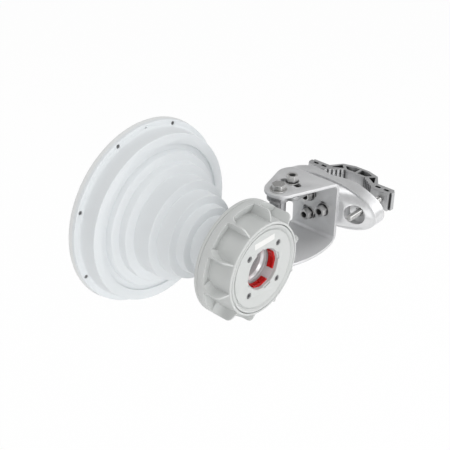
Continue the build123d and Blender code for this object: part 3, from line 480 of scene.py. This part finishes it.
def addThread(look, centre, name):
    side = look["pitch"] * threadDepth * math.sqrt(2)
    root = look["radius"] - look["pitch"] * threadDepth
    turns = round((look["end"] - look["start"]) / look["pitch"])
    bpy.ops.object.select_all(action="DESELECT")
    bpy.ops.mesh.primitive_plane_add(size=side * mm, location=(root * mm, 0, 0),
                                     rotation=(math.radians(90), math.radians(45), 0))
    piece = bpy.context.object
    piece.name = name
    bpy.ops.object.transform_apply(location=True, rotation=True, scale=True)
    bpy.ops.object.mode_set(mode="EDIT")
    bpy.ops.mesh.select_all(action="DESELECT")
    bpy.ops.object.mode_set(mode="OBJECT")
    inner = min(piece.data.vertices, key=lambda vertex: vertex.co.x)
    inner.select = True
    bpy.ops.object.mode_set(mode="EDIT")
    bpy.ops.mesh.delete(type="VERT")
    bpy.ops.object.mode_set(mode="OBJECT")
    screw = piece.modifiers.new("helix", "SCREW")
    screw.axis = "Z"
    screw.steps = threadSteps
    screw.render_steps = threadSteps
    screw.iterations = turns
    screw.screw_offset = look["pitch"] * mm
    screw.use_merge_vertices = True
    screw.merge_threshold = threadMerge
    bpy.ops.object.modifier_apply(modifier=screw.name)
    bpy.ops.object.mode_set(mode="EDIT")
    bpy.ops.mesh.select_all(action="SELECT")
    bpy.ops.mesh.remove_doubles(threshold=threadMerge)
    bpy.ops.mesh.select_all(action="DESELECT")
    bpy.ops.mesh.select_non_manifold()
    bpy.ops.mesh.fill_holes(sides=0)
    bpy.ops.mesh.select_all(action="SELECT")
    bpy.ops.mesh.normals_make_consistent(inside=False)
    bpy.ops.object.mode_set(mode="OBJECT")
    low = min(vertex.co.z for vertex in piece.data.vertices)
    high = max(vertex.co.z for vertex in piece.data.vertices)
    for vertex in piece.data.vertices:           # run the thread out at both ends
        spare = min(vertex.co.z - low, high - vertex.co.z)
        limit = (root - runOutSink) * mm + spare * runOutSlope
        reach = math.hypot(vertex.co.x, vertex.co.y)
        if reach > limit:
            vertex.co.x *= limit / reach
            vertex.co.y *= limit / reach
    middle = (look["start"] + look["end"]) / 2 * mm
    shift = middle - (low + high) / 2
    if look["axis"] == 0:
        piece.rotation_euler = (0, math.radians(90), 0)
        piece.location = (shift, centre[0] * mm, centre[1] * mm)
    else:
        piece.location = (centre[0] * mm, centre[1] * mm, shift)
    onlyThis(piece)
    bpy.ops.object.transform_apply(location=True, rotation=True, scale=True)
    bpy.ops.object.shade_smooth_by_angle(angle=math.radians(threadSmooth))
    piece.data.materials.append(finishes["stainless"])
    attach(piece, bodyOf[look["node"]])


for look in (poleThread, pivotThread):
    thinShank(skins[look["node"]], look)
    for index, centre in enumerate(look["centres"]):
        addThread(look, centre, look["node"] + "_thread_" + str(index))
print("threads cut")


# Bare label strip over the port
labelLook = {"width": 33.5, "height": 7.4, "thick": 0.18, "corner": 1.0, "cornerSteps": 5, "edge": 0.05,
             "edgeAngle": 50, "smooth": 40, "middle": (-0.6, 0.0, 36.0)}


def addLabel(look):
    bpy.ops.object.select_all(action="DESELECT")
    middle = [value * mm for value in look["middle"]]
    bpy.ops.mesh.primitive_plane_add(size=mm, location=middle, rotation=(math.radians(-90), 0, 0))
    label = bpy.context.object
    label.name = "coverLabel"
    label.scale = (look["width"], look["height"], 1)
    bpy.ops.object.transform_apply(location=True, rotation=True, scale=True)
    bpy.ops.object.mode_set(mode="EDIT")
    bpy.ops.mesh.select_all(action="SELECT")
    bpy.ops.mesh.bevel(offset=look["corner"] * mm, segments=look["cornerSteps"], affect="VERTICES")
    bpy.ops.mesh.select_all(action="SELECT")
    bpy.ops.mesh.extrude_region_move(TRANSFORM_OT_translate={"value": (0, look["thick"] * mm, 0)})
    bpy.ops.mesh.select_all(action="SELECT")
    bpy.ops.mesh.normals_make_consistent(inside=False)
    bpy.ops.object.mode_set(mode="OBJECT")
    edge = label.modifiers.new("softEdge", "BEVEL")
    edge.width = look["edge"] * mm
    edge.segments = 2
    edge.angle_limit = math.radians(look["edgeAngle"])
    bpy.ops.object.modifier_apply(modifier=edge.name)
    bpy.ops.object.shade_smooth_by_angle(angle=math.radians(look["smooth"]))
    label.data.materials.append(extras["labelVinyl"])
    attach(label, bodyOf["back_cover"])


addLabel(labelLook)
print("label strip set")


# Floor, world and lamps
stageLook = {"floorDrop": 0.42, "floorSize": 14, "floorTone": 0.9, "floorGloss": 0.9, "floorShine": 0.1,
             "shadowShare": 0.03, "fillLight": 0.40}


def whiteOut(tree, shaded, share):
    wire = Wire(tree)
    path = tree.nodes.new("ShaderNodeLightPath")
    seen = Wire(tree, path.outputs["Is Camera Ray"]) + Wire(tree, path.outputs["Is Glossy Ray"])
    seen = (seen + Wire(tree, path.outputs["Is Transmission Ray"])).clamp()
    glow = wire.node("ShaderNodeEmission", {}, {"Color": grey(1), "Strength": 1.0})
    return wire.node("ShaderNodeMixShader", {}, {0: seen * share, 1: shaded, 2: glow})


def addFloor(look):
    bpy.ops.object.select_all(action="DESELECT")
    low = cadBox[0][2] - look["floorDrop"]
    bpy.ops.mesh.primitive_plane_add(size=look["floorSize"], location=(0, 0, low))
    floor = bpy.context.object
    floor.name = "paleFloor"
    material = bpy.data.materials.new("paleFloor")
    material.use_nodes = True
    tree = material.node_tree
    shader = tree.nodes["Principled BSDF"]
    shader.inputs["Base Color"].default_value = grey(look["floorTone"])
    shader.inputs["Roughness"].default_value = look["floorGloss"]
    shader.inputs["Specular IOR Level"].default_value = look["floorShine"]
    mixed = whiteOut(tree, Wire(tree, shader.outputs[0]), 1 - look["shadowShare"])
    feed(mixed, tree.nodes["Material Output"].inputs["Surface"])
    floor.data.materials.append(material)


def addWorld(strength):
    world = bpy.data.worlds.new("whiteRoom")
    bpy.context.scene.world = world
    world.use_nodes = True
    tree = world.node_tree
    backdrop = tree.nodes["Background"]
    backdrop.inputs["Color"].default_value = grey(1)
    backdrop.inputs["Strength"].default_value = strength
    path = tree.nodes.new("ShaderNodeLightPath")
    white = Wire(tree).node("ShaderNodeBackground", {}, {"Color": grey(1), "Strength": 1.0})
    mixed = Wire(tree).node("ShaderNodeMixShader", {},
                            {0: Wire(tree, path.outputs["Is Camera Ray"]),
                             1: Wire(tree, backdrop.outputs[0]), 2: white})
    feed(mixed, tree.nodes["World Output"].inputs["Surface"])


lampAim = (-0.08, -0.09, 0)
lamps = [
    {"name": "topLamp", "place": (0.0, -0.1, 1.9), "size": 1.2, "power": 9},
    {"name": "keyLamp", "place": (-1.1, 1.4, 1.1), "size": 1.2, "power": 9},
    {"name": "frontLamp", "place": (1.1, 1.4, 1.1), "size": 1.2, "power": 12},
    {"name": "clampSideLamp", "place": (-1.9, 0.4, 0.6), "size": 1.2, "power": 9},
    {"name": "mouthLamp", "place": (0.3, -1.9, 0.6), "size": 1.2, "power": 10},
    {"name": "lowLamp", "place": (0.0, 1.4, -0.42), "size": 1.2, "power": 12.5},
    {"name": "lowSideLamp", "place": (1.3, 0.3, -0.42), "size": 1.2, "power": 6},
]


def addLamp(look):
    bpy.ops.object.select_all(action="DESELECT")
    bpy.ops.object.light_add(type="AREA", location=look["place"])
    lamp = bpy.context.object
    lamp.name = look["name"]
    lamp.data.size = look["size"]
    lamp.data.energy = look["power"]
    lamp.visible_camera = False
    aim = Vector(lampAim) - lamp.location
    lamp.rotation_euler = aim.to_track_quat("-Z", "Y").to_euler()


addFloor(stageLook)
addWorld(stageLook["fillLight"])
for lampLook in lamps:
    addLamp(lampLook)
bpy.context.scene.view_settings.view_transform = "Standard"
print("stage and lamps set")
